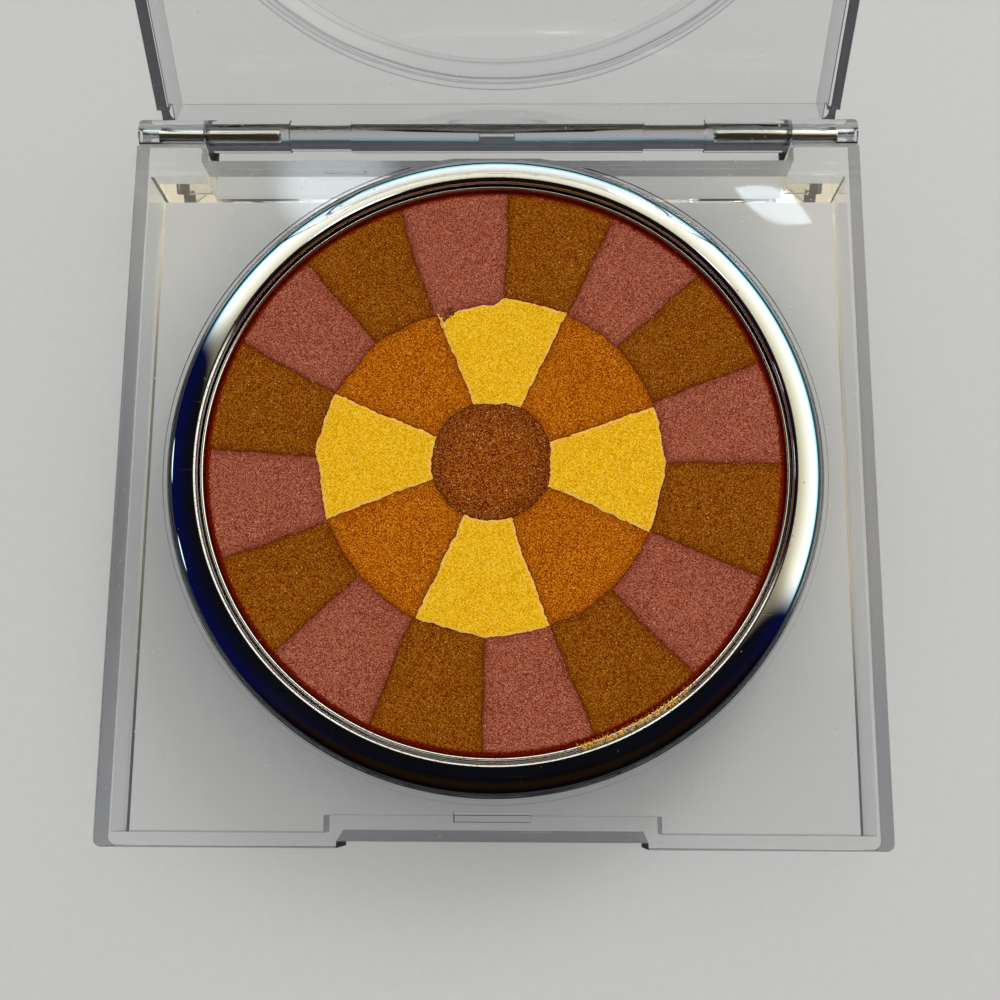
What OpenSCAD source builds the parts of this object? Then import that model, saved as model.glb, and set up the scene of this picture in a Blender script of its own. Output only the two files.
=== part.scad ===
// Eyeshadow palette: a clear square compact with a hinged lid. A chrome bezel
// frames a round metal pan, and the pan is filled with a wheel of pressed shades.
// Millimetres. +Z is up and -Y is the front, where the compact opens. The origin
// is the centre of the base's underside. The lid is drawn open, against its stop.

/* [Base] */
// Width of the base, left to right
base_w = 77; // [74:0.5:90]
// Depth of the base, front to back
base_d = 76.5; // [76:0.5:90]
// Height of the deck above the table
base_h = 8.2; // [7.6:0.1:12]
// Thickness of the skirt walls
wall = 1.4; // [1:0.1:1.8]
// Thickness of the deck plate
deck_t = 1.5; // [1:0.1:2]
// Radius of the base's upright corners
corner_r = 0.8; // [0.5:0.1:3]
// Width of the raised rim round the bezel's seat
seat_rim_w = 0.45; // [0.3:0.05:0.8]
// Height of that rim above the deck
seat_rim_h = 0.5; // [0.2:0.1:1]
// Diameter of the boss that props up the floor of the pan's well
boss_d = 12; // [8:1:20]

/* [Front notch and catch] */
// Width of the thumb notch
notch_w = 30; // [20:1:40]
// Set-back of the notch at the deck
notch_top = 0.65; // [0.4:0.05:1]
// Set-back of the notch at the table
notch_foot = 1.6; // [1:0.1:2]
// Depth of the solid block behind the notch, from the front edge
notch_block = 3.1; // [2.8:0.1:4]
// Width of the slot that takes the lid's catch
catch_w = 7.5; // [5:0.5:12]
// Front-to-back size of that slot
catch_slot = 1; // [0.8:0.1:1.2]
// Clearance between the catch and its slot, each side
catch_gap = 0.15; // [0.1:0.05:0.2]
// How far the catch reaches below the lid's rim
catch_drop = 2.4; // [1.5:0.1:3]

/* [Hinge] */
// Radius of the hinge barrel and of the two ears
hinge_r = 1.75; // [1.5:0.05:2]
// Width of each ear
ear_w = 7; // [5:0.5:9]
// Depth of the bay between the ears
bay_d = 5.4; // [4.8:0.1:6.5]
// Radius of the steel pins
pin_r = 0.6; // [0.4:0.05:0.8]
// Length of each pin
pin_l = 13; // [10:0.5:14]
// How far each pin's outer end lies inside the ear
pin_recess = 2; // [1:0.5:3]
// Radial clearance of the pins in the lid's barrel
pin_gap = 0.05; // [0.02:0.01:0.08]
// Radial clearance of the pins in the ears, where they are pushed home
pin_push = 0.01; // [0.01:0.01:0.02]
// Side gap between an ear and the barrel
hinge_gap = 0.25; // [0.15:0.05:0.4]
// Length of the full-round knuckle at each end of the barrel
knuckle_l = 9; // [7:0.5:11]
// Length of the thicker middle stretch of the barrel
barrel_mid_l = 31.4; // [20:0.2:36]
// How much thinner the barrel is between its knuckles and its middle
barrel_relief = 0.2; // [0.1:0.05:0.3]
// Width of the gate notch at the middle of the barrel
gate_w = 3.8; // [2:0.2:6]
// Depth of the gate notch
gate_d = 0.4; // [0.2:0.1:0.6]
// Angle from closed to the open stop
open_angle = 122.7; // [100:0.1:124]
// Gap between the lid's relief and the ears at the stop
stop_gap = 0.15; // [0.1:0.05:0.3]

/* [Lid] */
// Set-back of the lid's front and sides from the base's edges
lid_margin = 1.6; // [0.8:0.1:1.6]
// Thickness of the lid's walls
lid_wall = 1.4; // [1:0.1:1.8]
// Thickness of the lid's top plate
lid_top_t = 1.5; // [1:0.1:2]
// Height of the lid's walls, rim to top plate
lid_h = 7.1; // [6:0.1:7.1]
// Gap between the closed lid's rim and the deck
rim_gap = 0.1; // [0.05:0.05:0.2]
// Radius of the raised round window where it leaves the plate
window_r = 35.6; // [30:0.2:35.8]
// Radial width of the window's sloping edge
window_slope = 1.8; // [1:0.1:3]
// Height of the window above the plate
window_rise = 1.8; // [1:0.1:2.4]
// Wall thickness of the sloping edge
window_t = 1.4; // [1:0.1:1.6]
// Width of the thumb tab on the lid's front
tab_w = 28; // [18:1:36]
// Reach of the tab, forward of the lid's front wall
tab_reach = 1.4; // [0.8:0.1:1.6]
// Thickness of the tab
tab_t = 1.6; // [1:0.1:2.5]

/* [Pan and bezel] */
// Radius of the pan's lip
pan_r = 29.5; // [24:0.5:29.5]
// Height of the pan
pan_h = 4.5; // [3.5:0.1:5]
// Thickness of the pan's metal
pan_t = 0.3; // [0.2:0.05:0.5]
// Height of the pan's lip above the deck
lip_rise = 2.1; // [1.6:0.1:2.6]
// Thickness of the adhesive pad under the pan
pad_t = 0.8; // [0.5:0.1:1.2]
// Set-back of the pad from the pan's edge
pad_margin = 2.5; // [1:0.5:6]
// Radial gap between the pan and the bezel
pan_fit = 0.15; // [0.1:0.05:0.3]
// Thickness of the bezel's skirt, which stands in the well
bezel_skirt_t = 1.4; // [1:0.1:1.8]
// Overhang of the bezel's flange on the deck
bezel_flange = 2; // [1.5:0.1:2.4]
// Height of the bezel's outer edge
bezel_edge_h = 0.25; // [0.15:0.05:0.6]
// Height of the bezel's crest above the pan's lip
crest_rise = 0.6; // [0.3:0.1:0.8]
// Radial distance from the bezel's bore to its crest
crest_in = 0.5; // [0.4:0.05:1]
// Height of the bezel's inner edge below the pan's lip
inner_drop = 0.3; // [0.1:0.05:0.5]
// Radial gap between the bezel's skirt and the well
well_fit = 0.15; // [0.1:0.05:0.3]
// Thickness of the well's wall and floor
well_t = 1.2; // [0.8:0.1:1.4]
// Distance of the pan's centre in front of the base's centre
pan_forward = 0.5; // [0:0.1:0.5]

/* [Powder] */
// Radius of the centre shade
center_r = 5.85; // [4:0.1:8]
// Outer radius of the inner ring of shades
inner_ring_r = 17.4; // [12:0.1:20]
// Depth of the powder's surface below the pan's lip
powder_drop = 0.35; // [0.2:0.05:0.8]
// Width of the worn bevel round the powder's edge
bevel_w = 0.45; // [0.2:0.05:0.8]
// Depth of that bevel
bevel_h = 0.5; // [0.3:0.1:1]
// Gap between the powder and the pan's wall
powder_fit = 0.05; // [0.02:0.01:0.1]
// Gap between neighbouring rings of powder
ring_seam = 0.04; // [0.02:0.01:0.1]
// Gap between neighbouring shades of one ring, in degrees
shade_seam = 0.15; // [0.05:0.05:0.5]
// Turn of the whole wheel, in degrees
wheel_turn = -2.2; // [-10:0.1:10]

/* [Hidden] */
$fn = 96;
// Shades in the inner ring of the wheel
inner_count = 8;
// Shades in the outer ring
outer_count = 16;
// Segments in each curve of the bezel's section
crest_steps = 8;
// Overlap of a cut with open air
cut = 1;
// Overlap of two pieces of one moulding
weld = 0.3;

clear_plastic = [0.86, 0.89, 0.92, 0.35];
silver = [0.78, 0.79, 0.8];
chrome = [0.62, 0.66, 0.7];
pad_white = [0.92, 0.91, 0.88];
mauve = [0.6, 0.34, 0.31];
olive_brown = [0.52, 0.31, 0.04];
orange_brown = [0.66, 0.35, 0.03];
yellow = [0.9, 0.7, 0.24];
dark_brown = [0.4, 0.19, 0.07];

front_y = -base_d / 2;
back_y = base_d / 2;
axis_y = back_y - hinge_r;
axis_z = base_h - hinge_r;
bay_half = base_w / 2 - ear_w;
bay_y = back_y - bay_d;
barrel_half = bay_half - hinge_gap;
deck_under = base_h - deck_t;

lid_half = base_w / 2 - lid_margin;
lid_front_y = front_y + lid_margin;
rim_z = base_h + rim_gap;
lid_top_z = rim_z + lid_h;
plate_z = lid_top_z - lid_top_t;
// Height of the relief over the ears, set so that its edge meets them at the stop
relief_top = axis_z + (hinge_r + stop_gap - hinge_r * cos(open_angle)) / sin(open_angle);
relief_front = hinge_r + 2 * stop_gap;
catch_y = lid_front_y + lid_wall;
catch_half = catch_slot / 2 - catch_gap;

lip_z = base_h + lip_rise;
pan_z = lip_z - pan_h;
well_floor = pan_z - pad_t;
well_under = well_floor - well_t;
bore_r = pan_r + pan_fit;
skirt_r = bore_r + bezel_skirt_t;
bezel_r = skirt_r + bezel_flange;
crest_r = bore_r + crest_in;
crest_z = lip_z + crest_rise;
bezel_edge_z = base_h + bezel_edge_h;
inner_edge_z = lip_z - inner_drop;
well_r = skirt_r + well_fit;
seat_r = bezel_r + well_fit;
powder_r = pan_r - pan_t - powder_fit;
powder_z = pan_z + pan_t;
powder_top = lip_z - powder_drop;

// Box with upright rounded corners, centred on X and standing on z
module rounded_box(half_x, y0, y1, z0, z1, r) {
    translate([-half_x + r, y0, z0]) cube([2 * (half_x - r), y1 - y0, z1 - z0]);
    translate([-half_x, y0 + r, z0]) cube([2 * half_x, y1 - y0 - 2 * r, z1 - z0]);
    for (x = [-half_x + r, half_x - r], y = [y0 + r, y1 - r])
        translate([x, y, z0]) cylinder(r = r, h = z1 - z0);
}

// Box given by its half width and its Y and Z limits
module bar(half_x, y0, y1, z0, z1) {
    translate([-half_x, y0, z0]) cube([2 * half_x, y1 - y0, z1 - z0]);
}

// Rod along X, centred on the hinge axis
module hinge_rod(x0, x1, r) {
    translate([x0, axis_y, axis_z]) rotate([0, 90, 0]) cylinder(r = r, h = x1 - x0);
}

// Turns what is drawn closed to the open stop
module opened() {
    translate([0, axis_y, axis_z]) rotate([-open_angle, 0, 0]) translate([0, -axis_y, -axis_z]) children();
}

// Centres what is drawn on the pan's own axis
module at_pan() {
    translate([0, -pan_forward, 0]) children();
}

// Deck and skirt, with the hollow under the deck
module base_shell() {
    difference() {
        rounded_box(base_w / 2, front_y, back_y, 0, base_h, corner_r);
        bar(base_w / 2 - wall, front_y + wall, bay_y - wall, -cut, deck_under);
    }
}

// Round well that hangs from the deck, and the boss under its floor
module well_outside() {
    at_pan() {
        translate([0, 0, well_under]) cylinder(r = well_r + well_t, h = base_h - well_under);
        cylinder(d = boss_d, h = well_floor);
        cylinder(r = seat_r + seat_rim_w, h = base_h + seat_rim_h);
    }
}

// Space under the seat's rim that stays hollow outside the well
module under_seat() {
    at_pan() difference() {
        translate([0, 0, -cut]) cylinder(r = seat_r + seat_rim_w + cut, h = deck_under + cut);
        translate([0, 0, well_under]) cylinder(r = well_r + well_t, h = base_h);
        translate([0, 0, -2 * cut]) cylinder(d = boss_d, h = base_h);
    }
}

// Well for the pan and the bezel's skirt, and the seat for the bezel's flange
module well_inside() {
    at_pan() {
        translate([0, 0, well_floor]) cylinder(r = well_r, h = base_h);
        translate([0, 0, base_h]) cylinder(r = seat_r, h = base_h);
    }
}

// Solid block behind the thumb notch
module notch_solid() {
    bar(notch_w / 2 + wall, front_y, front_y + notch_block, 0, base_h);
}

// Sloping thumb notch, open to the front
module notch_cut() {
    translate([-notch_w / 2, 0, 0]) rotate([90, 0, 90]) linear_extrude(notch_w) polygon([
        [front_y - cut, -cut], [front_y + notch_foot, -cut], [front_y + notch_foot, 0],
        [front_y + notch_top, base_h], [front_y + notch_top, base_h + cut], [front_y - cut, base_h + cut]]);
}

// Slot in the deck for the lid's catch
module catch_cut() {
    bar(catch_w / 2, catch_y - catch_slot / 2, catch_y + catch_slot / 2,
        rim_z - catch_drop - 2 * catch_gap, base_h + cut);
}

// Rounding of both ears about the hinge axis, with a groove in front of each
module ear_rounding() {
    groove_y = axis_y - hinge_r - catch_gap;
    difference() {
        union() {
            bar(base_w / 2 + cut, axis_y, back_y + cut, axis_z, base_h + cut);
            bar(base_w / 2 + cut, groove_y, axis_y, base_h - hinge_r / 2, base_h + cut);
        }
        hinge_rod(-base_w, base_w, hinge_r);
        bar(bay_half, front_y, bay_y, 0, base_h + 2 * cut);
    }
}

module base_case() {
    color(clear_plastic) difference() {
        union() {
            base_shell();
            difference() {
                well_outside();
                under_seat();
            }
            notch_solid();
        }
        well_inside();
        bar(bay_half, bay_y, back_y + cut, -cut, base_h + cut);
        ear_rounding();
        notch_cut();
        catch_cut();
        hinge_rod(-base_w, base_w, pin_r + pin_push);
    }
}

// Hinge barrel of the lid: two knuckles, a thinner stretch and a middle
module lid_barrel() {
    difference() {
        union() {
            hinge_rod(-barrel_half, barrel_half, hinge_r - barrel_relief);
            for (x = [-barrel_half, barrel_half - knuckle_l]) hinge_rod(x, x + knuckle_l, hinge_r);
            hinge_rod(-barrel_mid_l / 2, barrel_mid_l / 2, hinge_r);
        }
        bar(gate_w / 2, axis_y - hinge_r - cut, axis_y, axis_z - hinge_r - cut, axis_z - hinge_r + gate_d);
    }
}

// Walls, top plate and raised window of the lid
module lid_shell() {
    difference() {
        union() {
            rounded_box(lid_half, lid_front_y, back_y, rim_z, lid_top_z, corner_r);
            translate([0, 0, lid_top_z])
                cylinder(r1 = window_r, r2 = window_r - window_slope, h = window_rise);
        }
        bar(lid_half - lid_wall, lid_front_y + lid_wall, back_y - lid_wall, rim_z - cut, plate_z);
        translate([0, 0, plate_z - weld])
            cylinder(r = window_r - window_t, h = weld);
        translate([0, 0, plate_z])
            cylinder(r1 = window_r - window_t, r2 = window_r - window_t - window_slope, h = window_rise);
    }
}

// Relief that clears the ears and sets the open stop
module ear_relief() {
    for (x = [-base_w, barrel_half])
        translate([x, axis_y - relief_front, 0])
            cube([base_w - barrel_half, relief_front + hinge_r + cut, relief_top]);
}

module lid() {
    color(clear_plastic) opened() difference() {
        union() {
            difference() {
                lid_shell();
                ear_relief();
            }
            bar(barrel_half, back_y - lid_wall, back_y, axis_z, rim_z + weld);
            lid_barrel();
            bar(tab_w / 2, lid_front_y - tab_reach, lid_front_y + weld, rim_z, rim_z + tab_t);
            bar(catch_w / 2 - catch_gap, catch_y - catch_half, catch_y + catch_half,
                rim_z - catch_drop, rim_z + catch_drop);
        }
        for (x = [-barrel_half - cut, barrel_half + cut - knuckle_l])
            hinge_rod(x, x + knuckle_l, pin_r + pin_gap);
    }
}

// One hinge pin, from its outer end inwards
module hinge_pin(side) {
    outer = base_w / 2 - pin_recess;
    color(silver) hinge_rod(side > 0 ? outer - pin_l : -outer, side > 0 ? outer : pin_l - outer, pin_r);
}

// Points of a quarter ellipse about (r, z), from angle a0 to a1
function arc(r, z, half_r, half_z, a0, a1) = [
    for (i = [0:crest_steps])
        let (a = a0 + (a1 - a0) * i / crest_steps)
            [r + half_r * cos(a), z + half_z * sin(a)]];

module chrome_bezel() {
    color(chrome) at_pan() rotate_extrude() polygon(concat(
        [[bore_r, well_floor], [skirt_r, well_floor], [skirt_r, base_h], [bezel_r, base_h]],
        arc(crest_r, bezel_edge_z, bezel_r - crest_r, crest_z - bezel_edge_z, 0, 90),
        arc(crest_r, inner_edge_z, crest_r - bore_r, crest_z - inner_edge_z, 90 + 90 / crest_steps, 180)));
}

module pan() {
    color(silver) at_pan() translate([0, 0, pan_z]) difference() {
        cylinder(r = pan_r, h = pan_h);
        translate([0, 0, pan_t]) cylinder(r = pan_r - pan_t, h = pan_h);
    }
}

module pan_adhesive() {
    color(pad_white) at_pan() translate([0, 0, well_floor]) cylinder(r = pan_r - pad_margin, h = pad_t);
}

module powder_center() {
    color(dark_brown) at_pan() translate([0, 0, powder_z])
        cylinder(r = center_r - ring_seam / 2, h = powder_top - powder_z);
}

// One shade of a ring, from its own start angle
module shade(section, index, count, first) {
    step = 360 / count;
    at_pan() rotate([0, 0, first + wheel_turn + (index - 1) * step + shade_seam / 2])
        rotate_extrude(angle = step - shade_seam) polygon(section);
}

module powder_inner(index) {
    r0 = center_r + ring_seam / 2;
    r1 = inner_ring_r - ring_seam / 2;
    color(index % 2 == 1 ? yellow : orange_brown)
        shade([[r0, powder_z], [r1, powder_z], [r1, powder_top], [r0, powder_top]],
            index, inner_count, -180 / inner_count);
}

module powder_outer(index) {
    r0 = inner_ring_r + ring_seam / 2;
    color(index % 2 == 1 ? mauve : olive_brown)
        shade([[r0, powder_z], [powder_r, powder_z], [powder_r, powder_top - bevel_h],
            [powder_r - bevel_w, powder_top], [r0, powder_top]],
            index, outer_count, 0);
}

base_case();
lid();
hinge_pin(-1);  // hinge_pin_left
hinge_pin(1);  // hinge_pin_right
chrome_bezel();
pan();
pan_adhesive();
powder_center();
for (i = [1:inner_count])
    powder_inner(i);
for (i = [1:outer_count])
    powder_outer(i);
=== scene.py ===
"""Square clear compact: a chrome bezel and a wheel of pressed shades under a hinged lid."""
import math
import random

import bmesh
import bpy
from mathutils import Matrix, Vector, noise


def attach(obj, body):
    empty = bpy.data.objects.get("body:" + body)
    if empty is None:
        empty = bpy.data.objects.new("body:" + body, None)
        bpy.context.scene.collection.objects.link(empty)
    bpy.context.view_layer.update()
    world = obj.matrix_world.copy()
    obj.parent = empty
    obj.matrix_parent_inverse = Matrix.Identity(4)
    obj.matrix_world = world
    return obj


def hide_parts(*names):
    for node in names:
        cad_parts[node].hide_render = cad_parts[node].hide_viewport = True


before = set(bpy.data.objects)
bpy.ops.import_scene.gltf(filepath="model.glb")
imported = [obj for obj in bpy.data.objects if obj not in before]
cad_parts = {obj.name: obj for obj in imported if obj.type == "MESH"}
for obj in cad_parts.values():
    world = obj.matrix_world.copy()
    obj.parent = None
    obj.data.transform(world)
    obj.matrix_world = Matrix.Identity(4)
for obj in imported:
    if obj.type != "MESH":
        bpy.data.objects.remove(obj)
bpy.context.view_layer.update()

# ---------------------------------------------------------------- sizes, in millimetres
MM = 0.001
WHEEL_Y = -0.5
POWDER_FLOOR = 6.1
POWDER_TOP = 9.95
POWDER_RIM = 29.15
SHADE_FOOT = POWDER_FLOOR + 1.2
SHADE_TOP = POWDER_TOP - 0.03
SEAM_GAP = 0.012            # half the slit between two shades
SEAM_SEED = 1795469653      # picks the seams' wandering
FAR = 20.0                  # stands for "no rim nearby" in the rim attribute
HINGE_Y, HINGE_Z = 36.5, 6.45
PIN_ENDS = 23.5, 36.5
PIN_RADIUS = 0.6
MOULDED_EDGE = 0.14         # how wide the mouldings' edges are rounded
WINDOW_CENTER = 0, 63.94, 32.8          # a point on the window's axis, with the lid on its stop
WINDOW_AXIS = 0, 0.8415, -0.5402
WINDOW_BAND = 34.0, 36.0                # radii of the band that slopes down to the window
BRIGHT_SIDE = 0.42, 0.907, 0.0          # towards the bright wall of the room

# Edges of the middle ring: degrees round the wheel, then radius
CENTER_EDGE = (
    (0, 5.66), (20, 5.9), (45, 6.0), (70, 6.2), (90, 6.05), (110, 6.3), (156, 6.42), (180, 6.2),
    (197, 6.36), (225, 6.2), (250, 6.1), (270, 5.93), (288, 5.95), (312, 5.82), (336, 5.84))
RING_EDGE = (
    (0, 17.2), (5, 17.04), (20, 17.0), (40, 17.3), (65, 17.15), (80, 17.12), (87, 17.28), (90, 16.62),
    (104, 16.45), (107, 16.25), (109.8, 15.5), (110.9, 16.5), (133, 17.35), (156, 17.6), (166, 17.75),
    (176, 17.98), (188, 17.42), (198, 17.72), (220, 17.5), (246, 17.55), (256, 17.25), (267, 17.62),
    (276, 17.3), (288, 17.42), (312, 17.2), (335, 16.98), (347, 16.7), (357, 17.1))
# Each seam's angle at its inner end and at its outer end
INNER_SEAMS = (
    (-24.3, -24.6), (20.4, 19.8), (65.6, 64.8), (109.8, 111.0),
    (156.3, 156.4), (196.8, 199.5), (242.3, 244.2), (286.4, 288.8))
OUTER_SEAMS = (
    (0.1, -0.2), (21.4, 21.4), (44.0, 43.3), (64.6, 64.9), (87.0, 87.4), (112.3, 110.0),
    (134.0, 132.8), (155.9, 154.0), (178.1, 177.4), (200.3, 200.3), (221.2, 221.8), (243.2, 245.7),
    (267.3, 268.1), (288.8, 290.1), (311.8, 313.0), (335.7, 336.3))


# ---------------------------------------------------------------- shader helpers and groups
def node(tree, kind, **values):
    """One shader node, with its properties and its unlinked sockets set."""
    made = tree.nodes.new(kind)
    for name, value in values.items():
        if hasattr(made, name):
            setattr(made, name, value)
        else:
            made.inputs[name.replace("_", " ")].default_value = value
    return made


def feed(tree, socket, value):
    """Links a socket's value where it comes from a node, and sets it where it is a constant."""
    if isinstance(value, bpy.types.NodeSocket):
        tree.links.new(value, socket)
    else:
        socket.default_value = value


def math_node(tree, operation, a, b, clamp=False):
    """One step of arithmetic on two values, which are sockets or numbers."""
    made = tree.nodes.new("ShaderNodeMath")
    made.operation = operation
    made.use_clamp = clamp
    feed(tree, made.inputs[0], a)
    feed(tree, made.inputs[1], b)
    return made.outputs[0]


def times(tree, a, b):
    return math_node(tree, "MULTIPLY", a, b)


def plus(tree, a, b, clamp=False):
    return math_node(tree, "ADD", a, b, clamp)


def vector_node(tree, operation, a, b, output=0):
    """A vector node on a socket and a constant."""
    made = node(tree, "ShaderNodeVectorMath", operation=operation)
    tree.links.new(a, made.inputs[0])
    if b is not None:
        made.inputs[1].default_value = b
    return made.outputs[output]


def had(tree, path, bounce):
    """One for a ray that has had this kind of bounce, from a Light Path node."""
    return math_node(tree, "GREATER_THAN", path.outputs[bounce], 0.5)


def had_no(tree, path, bounce):
    return math_node(tree, "LESS_THAN", path.outputs[bounce], 0.5)


def blend_colors(tree, factor, a, b, mode="MIX"):
    """Colour a turned into colour b by the factor."""
    made = tree.nodes.new("ShaderNodeMix")
    made.data_type = "RGBA"
    made.blend_type = mode
    for index, value in ((0, factor), (6, a), (7, b)):
        feed(tree, made.inputs[index], value)
    return made.outputs[2]


def between(tree, value, low, high, to_low=0.0, to_high=1.0, smooth=True):
    """The value's way from low to high, as a mask or a value of another range."""
    made = tree.nodes.new("ShaderNodeMapRange")
    made.interpolation_type = "SMOOTHSTEP" if smooth else "LINEAR"
    tree.links.new(value, made.inputs["Value"])
    for name, number in (("From Min", low), ("From Max", high), ("To Min", to_low), ("To Max", to_high)):
        made.inputs[name].default_value = number
    return made.outputs[0]


def color_ramp(tree, value, stops):
    """A colour read from stops of (place, linear red, green and blue)."""
    made = node(tree, "ShaderNodeValToRGB")
    tree.links.new(value, made.inputs[0])
    bands = made.color_ramp
    while len(bands.elements) < len(stops):
        bands.elements.new(0.5)
    for element, (place, color) in zip(bands.elements, stops):
        element.position = place
        element.color = color[:3] + (1,)
    return made.outputs[0]


def group(name, inputs, outputs):
    """An empty node group with named sockets; inputs are (name, socket type, default)."""
    tree = bpy.data.node_groups.new(name, "ShaderNodeTree")
    for label, kind, default in inputs:
        socket = tree.interface.new_socket(name=label, in_out="INPUT", socket_type=kind)
        if default is not None:
            socket.default_value = default
    for label, kind in outputs:
        tree.interface.new_socket(name=label, in_out="OUTPUT", socket_type=kind)
    return tree, tree.nodes.new("NodeGroupInput"), tree.nodes.new("NodeGroupOutput")


def noise_node(tree, vector, scale, detail=2.0, roughness=0.5):
    """Noise with so many waves a metre."""
    made = node(tree, "ShaderNodeTexNoise", Detail=detail, Roughness=roughness)
    tree.links.new(vector, made.inputs["Vector"])
    feed(tree, made.inputs["Scale"], scale)
    return made.outputs["Fac"]


def build_pressed_grain():
    """Grains of pressed powder, with the imprint of the pressing cloth."""
    tree, given, made = group(
        "pressed_grain",
        (("Vector", "NodeSocketVector", None), ("Grains per metre", "NodeSocketFloat", 8000.0),
         ("Cloth", "NodeSocketFloat", 0.4)),
        (("Tone", "NodeSocketFloat"), ("Height", "NodeSocketFloat")))
    vector = given.outputs["Vector"]
    fine = noise_node(tree, vector, given.outputs["Grains per metre"], 3.0, 0.65)
    coarse = noise_node(tree, vector, 1600.0, 3.0, 0.6)
    patch = noise_node(tree, vector, 170.0, 2.0, 0.5)
    threads = []
    for turn in (0.62, -0.95):
        turned = node(tree, "ShaderNodeMapping")
        turned.inputs["Rotation"].default_value = (0, 0, turn)
        tree.links.new(vector, turned.inputs["Vector"])
        thread = node(tree, "ShaderNodeTexWave", Scale=1100.0, Distortion=1.6, Detail=2.0)
        thread.inputs["Detail Scale"].default_value = 1.5
        tree.links.new(turned.outputs[0], thread.inputs["Vector"])
        threads.append(thread.outputs["Fac"])
    cloth = times(tree, threads[0], threads[1])
    cloth = times(tree, cloth, given.outputs["Cloth"])
    grain = plus(tree, times(tree, fine, 0.93), times(tree, coarse, 0.07))
    sharp = between(tree, grain, 0.38, 0.62)
    tone = plus(tree, times(tree, sharp, 0.86), times(tree, patch, 0.14))
    tone = plus(tree, tone, times(tree, cloth, 0.3), clamp=True)
    height = plus(tree, grain, times(tree, cloth, 0.5))
    tree.links.new(tone, made.inputs["Tone"])
    tree.links.new(height, made.inputs["Height"])
    return tree


def build_shimmer():
    """Flakes of shimmer scattered over the powder."""
    tree, given, made = group(
        "shimmer_flakes",
        (("Vector", "NodeSocketVector", None), ("Flakes per metre", "NodeSocketFloat", 5600.0),
         ("Share", "NodeSocketFloat", 0.1)),
        (("Mask", "NodeSocketFloat"),))
    cells = node(tree, "ShaderNodeTexVoronoi")
    tree.links.new(given.outputs["Vector"], cells.inputs["Vector"])
    tree.links.new(given.outputs["Flakes per metre"], cells.inputs["Scale"])
    pick = node(tree, "ShaderNodeSeparateColor")
    tree.links.new(cells.outputs["Color"], pick.inputs[0])
    size = times(tree, pick.outputs[1], 0.3)
    near = math_node(tree, "LESS_THAN", cells.outputs["Distance"], plus(tree, size, 0.12))
    chosen = math_node(tree, "LESS_THAN", pick.outputs[0], given.outputs["Share"])
    mask = times(tree, near, chosen)
    mask = times(tree, mask, plus(tree, times(tree, pick.outputs[2], 0.7), 0.3))
    tree.links.new(mask, made.inputs["Mask"])
    return tree


def build_handling():
    """Hairline scratches, soft smears and dust on a polished surface."""
    tree, given, made = group(
        "handling_marks",
        (("Vector", "NodeSocketVector", None), ("Smears", "NodeSocketFloat", 0.5)),
        (("Scratches", "NodeSocketFloat"), ("Smear", "NodeSocketFloat"), ("Dust", "NodeSocketFloat")))
    vector = given.outputs["Vector"]
    lines = None
    for turn, stretch in ((0.35, 60.0), (1.25, 45.0), (-0.7, 75.0)):
        turned = node(tree, "ShaderNodeMapping")
        turned.inputs["Rotation"].default_value = (0.3 * turn, 0.2 * turn, turn)
        turned.inputs["Scale"].default_value = (stretch, 2600.0, 900.0)
        tree.links.new(vector, turned.inputs["Vector"])
        line = between(tree, noise_node(tree, turned.outputs[0], 1.0, 1.0, 0.4), 0.73, 0.8)
        lines = line if lines is None else math_node(tree, "MAXIMUM", lines, line)
    here = between(tree, noise_node(tree, vector, 90.0, 2.0, 0.5), 0.45, 0.7)
    smear = between(tree, noise_node(tree, vector, 70.0, 4.0, 0.6), 0.5, 0.75)
    dust = build_specks(tree, vector, 1500.0, 0.03)
    tree.links.new(times(tree, lines, here), made.inputs["Scratches"])
    tree.links.new(times(tree, smear, given.outputs["Smears"]), made.inputs["Smear"])
    tree.links.new(dust, made.inputs["Dust"])
    return tree


def build_specks(tree, vector, scale, share, size=0.16):
    """Round specks of dust: a mask."""
    cells = node(tree, "ShaderNodeTexVoronoi", Scale=scale)
    tree.links.new(vector, cells.inputs["Vector"])
    pick = node(tree, "ShaderNodeSeparateColor")
    tree.links.new(cells.outputs["Color"], pick.inputs[0])
    near = math_node(tree, "LESS_THAN", cells.outputs["Distance"], size)
    return times(tree, near, math_node(tree, "LESS_THAN", pick.outputs[0], share))


PRESSED_GRAIN = build_pressed_grain()
SHIMMER = build_shimmer()
HANDLING = build_handling()


def place_group(tree, which, vector, **values):
    """A node that uses one of the groups above."""
    made = tree.nodes.new("ShaderNodeGroup")
    made.node_tree = which
    tree.links.new(vector, made.inputs["Vector"])
    for name, value in values.items():
        made.inputs[name.replace("_", " ")].default_value = value
    return made


def new_material(name):
    """A material, its tree, its shader and the Object coordinates that its patterns use."""
    made = bpy.data.materials.new(name)
    made.use_nodes = True
    tree = made.node_tree
    shader = tree.nodes["Principled BSDF"]
    vector = tree.nodes.new("ShaderNodeTexCoord").outputs["Object"]
    return made, tree, shader, vector


def srgb(red, green, blue):
    """A linear colour from screen values of 0 to 255."""
    return tuple((value / 255 / 12.92 if value <= 10 else ((value / 255 + 0.055) / 1.055) ** 2.4)
                 for value in (red, green, blue)) + (1.0,)


def attach_bump(tree, shader, height, distance, strength):
    """Fine relief on a shader; the distance is in metres."""
    bump = node(tree, "ShaderNodeBump", Strength=strength, Distance=distance)
    tree.links.new(height, bump.inputs["Height"])
    tree.links.new(bump.outputs[0], shader.inputs["Normal"])


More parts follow.
